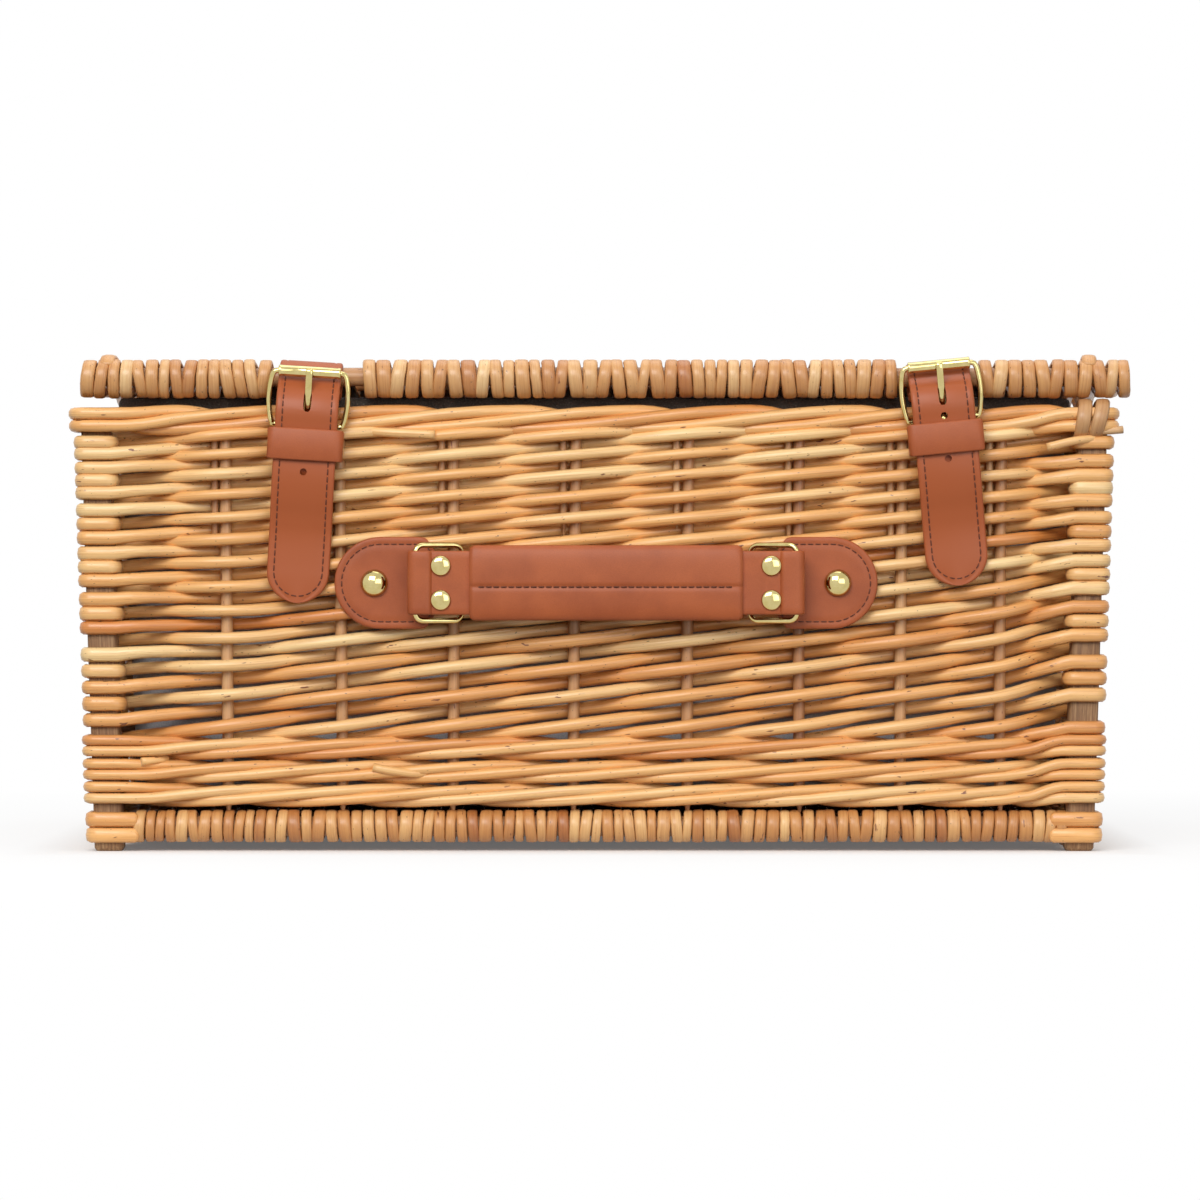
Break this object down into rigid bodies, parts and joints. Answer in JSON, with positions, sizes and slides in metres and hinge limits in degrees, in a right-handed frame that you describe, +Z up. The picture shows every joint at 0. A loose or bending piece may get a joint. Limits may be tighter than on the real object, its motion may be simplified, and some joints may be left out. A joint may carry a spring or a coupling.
{
  "type": "wicker hamper",
  "caption": "Rectangular woven willow hamper on corner posts, with a hinged lid, leather straps with roller buckles and a padded leather handle on the front.",
  "frame": {"origin": "on the floor under the middle of the hamper's box", "axes": "+X to the right along the front, +Y from the front to the back, +Z up; the handle and the buckles face -Y"},
  "size_m": [0.464, 0.3435, 0.2172],
  "materials": {
    "willow": "varnished honey willow rods",
    "stake_wood": "varnished darker willow rods",
    "post_wood": "satin grey-brown wood with grain",
    "leather": "smooth tan leather, stitched",
    "brass": "polished pale gold",
    "liner_cloth": "matte grey woven cloth",
    "binding_cloth": "matte dark brown woven cloth"
  },
  "bodies": {
    "basket": {"post_front_left": "post_wood", "post_front_right": "post_wood", "post_rear_left": "post_wood", "post_rear_right": "post_wood", "stakes_front": "stake_wood", "stakes_rear": "stake_wood", "stakes_left": "stake_wood", "stakes_right": "stake_wood", "weave_front": "willow", "weave_rear": "willow", "weave_left": "willow", "weave_right": "willow", "base_front_rod": "stake_wood", "base_rear_rod": "stake_wood", "base_stick_1": "stake_wood", "base_stick_2": "stake_wood", "base_stick_3": "stake_wood", "base_weave": "willow", "liner": "liner_cloth", "liner_binding": "binding_cloth", "hinge_loop_left": "leather", "hinge_loop_right": "leather", "hinge_rivet_left": "brass", "hinge_rivet_right": "brass", "chape_left": "leather", "chape_right": "leather", "chape_rivet_left": "brass", "chape_rivet_right": "brass", "anchor_left": "leather", "anchor_right": "leather", "stud_left": "brass", "stud_right": "brass"},
    "lid": {"lid_front_rod": "stake_wood", "lid_rear_rod": "stake_wood", "lid_stick_1": "stake_wood", "lid_stick_2": "stake_wood", "lid_stick_3": "stake_wood", "lid_stick_4": "stake_wood", "lid_weave": "willow"},
    "strap_left": {"strap_left": "leather"},
    "strap_right": {"strap_right": "leather"},
    "buckle_left": {"buckle_frame_left": "brass"},
    "buckle_right": {"buckle_frame_right": "brass"},
    "roller_left": {"buckle_roller_left": "brass"},
    "roller_right": {"buckle_roller_right": "brass"},
    "prong_left": {"buckle_prong_left": "brass"},
    "prong_right": {"buckle_prong_right": "brass"},
    "keeper_left": {"keeper_left": "leather"},
    "keeper_right": {"keeper_right": "leather"},
    "handle": {"handle_strap": "leather", "handle_grip": "leather", "handle_rivet_left_upper": "brass", "handle_rivet_left_lower": "brass", "handle_rivet_right_upper": "brass", "handle_rivet_right_lower": "brass"},
    "ring_left": {"ring_left": "brass"},
    "ring_right": {"ring_right": "brass"}
  },
  "joints": [
    {"name": "lid_hinge", "type": "hinge", "parent": "basket", "child": "lid", "pos_m": [0, 0.16, 0.20676], "axis": [-1, 0, 0], "range_deg": [0, 105], "deforming": ["strap_left", "strap_right"]},
    {"name": "strap_left_hang", "type": "hinge", "parent": "lid", "child": "strap_left", "pos_m": [-0.1248, -0.149, 0.20676], "axis": [-1, 0, 0], "range_deg": [-90, 0]},
    {"name": "strap_right_hang", "type": "hinge", "parent": "lid", "child": "strap_right", "pos_m": [0.1517, -0.149, 0.20676], "axis": [-1, 0, 0], "range_deg": [-90, 0]},
    {"name": "buckle_left_tilt", "type": "hinge", "parent": "basket", "child": "buckle_left", "pos_m": [-0.126, -0.1594, 0.187], "axis": [0.9981, 0, -0.0611], "range_deg": [0, 60]},
    {"name": "buckle_right_tilt", "type": "hinge", "parent": "basket", "child": "buckle_right", "pos_m": [0.1533, -0.1594, 0.19], "axis": [0.9954, 0, 0.0958], "range_deg": [0, 60]},
    {"name": "roller_left_spin", "type": "hinge", "parent": "buckle_left", "child": "roller_left", "pos_m": [-0.12456, -0.1613, 0.21046], "axis": [0.9981, 0, -0.0611], "continuous": true},
    {"name": "roller_right_spin", "type": "hinge", "parent": "buckle_right", "child": "roller_right", "pos_m": [0.15105, -0.1613, 0.21339], "axis": [0.9954, 0, 0.0958], "continuous": true},
    {"name": "prong_left_lift", "type": "hinge", "parent": "buckle_left", "child": "prong_left", "pos_m": [-0.126, -0.1594, 0.187], "axis": [0.9981, 0, -0.0611], "range_deg": [0, 16]},
    {"name": "prong_right_lift", "type": "hinge", "parent": "buckle_right", "child": "prong_right", "pos_m": [0.1533, -0.1594, 0.19], "axis": [0.9954, 0, 0.0958], "range_deg": [0, 16]},
    {"name": "keeper_left_slide", "type": "slide", "parent": "basket", "child": "keeper_left", "axis": [0.0611, 0, 0.9981], "range_m": [-0.004, 0]},
    {"name": "keeper_right_slide", "type": "slide", "parent": "basket", "child": "keeper_right", "axis": [-0.0958, 0, 0.9954], "range_m": [-0.004, 0]},
    {"name": "handle_pull", "type": "slide", "parent": "basket", "child": "handle", "axis": [0, -1, 0], "range_m": [0, 0.0068]},
    {"name": "ring_left_swing", "type": "hinge", "parent": "basket", "child": "ring_left", "pos_m": [-0.0581, -0.15955, 0.118], "axis": [0, 0, 1], "range_deg": [0, 24]},
    {"name": "ring_right_swing", "type": "hinge", "parent": "basket", "child": "ring_right", "pos_m": [0.0686, -0.15955, 0.118], "axis": [0, 0, -1], "range_deg": [0, 24]}
  ],
  "couplings": [
    {"joint": "strap_left_hang", "follows": "lid_hinge", "ratio": -0.82},
    {"joint": "strap_right_hang", "follows": "lid_hinge", "ratio": -0.82},
    {"joint": "buckle_left_tilt", "follows": "lid_hinge", "ratio": 0.57},
    {"joint": "buckle_right_tilt", "follows": "lid_hinge", "ratio": 0.57},
    {"joint": "ring_left_swing", "follows": "handle_pull", "rad_per_m": 55.2},
    {"joint": "ring_right_swing", "follows": "handle_pull", "rad_per_m": 55.2}
  ]
}
